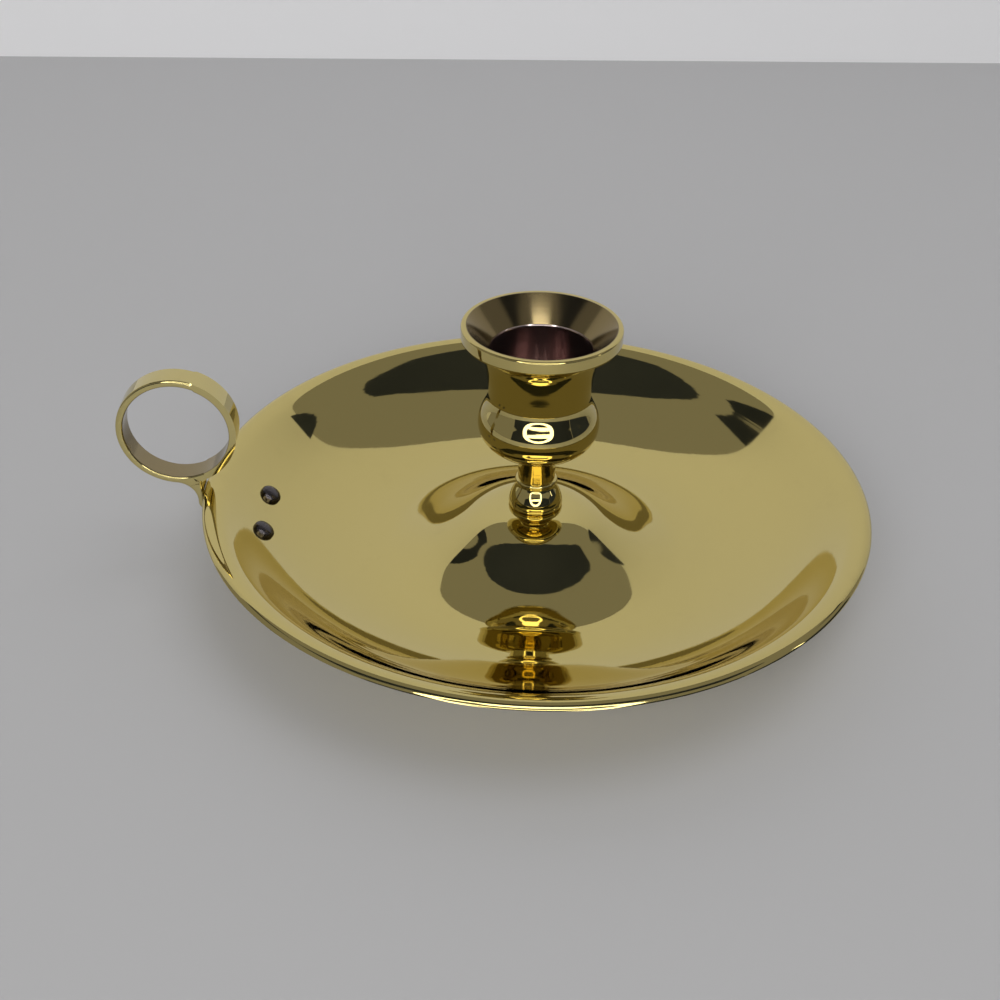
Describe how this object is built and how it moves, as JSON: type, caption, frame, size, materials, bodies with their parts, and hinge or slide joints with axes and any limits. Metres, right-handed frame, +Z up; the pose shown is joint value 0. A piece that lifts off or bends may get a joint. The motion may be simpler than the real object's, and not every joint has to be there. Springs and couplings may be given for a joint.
{
  "type": "chamberstick",
  "caption": "Low chamberstick: a dished drip pan with a rolled-out rim, a turned candle cup on a short stem at its centre, and an upright finger loop at the rim.",
  "frame": {"origin": "on the axis of the pan, in the plane of the flat ring it stands on", "axes": "+Z up along the axis of the pan and candle cup; the finger loop stands out along -X; +Y completes a right-handed set, across the loop"},
  "size_m": [0.17, 0.1524, 0.0584],
  "materials": {
    "pan_brass": "polished and lacquered",
    "cup_brass": "polished and lacquered",
    "loop_brass": "polished outside, satin inside the loop",
    "rivet_metal": "darkened, burnished",
    "screw_steel": "turned",
    "washer_brass": "dull, unpolished"
  },
  "bodies": {
    "root": {"drip_pan": "pan_brass", "candle_cup": "cup_brass", "finger_loop": "loop_brass", "loop_rivets": "rivet_metal", "centre_screw": "screw_steel", "screw_washer": "washer_brass"}
  },
  "joints": []
}
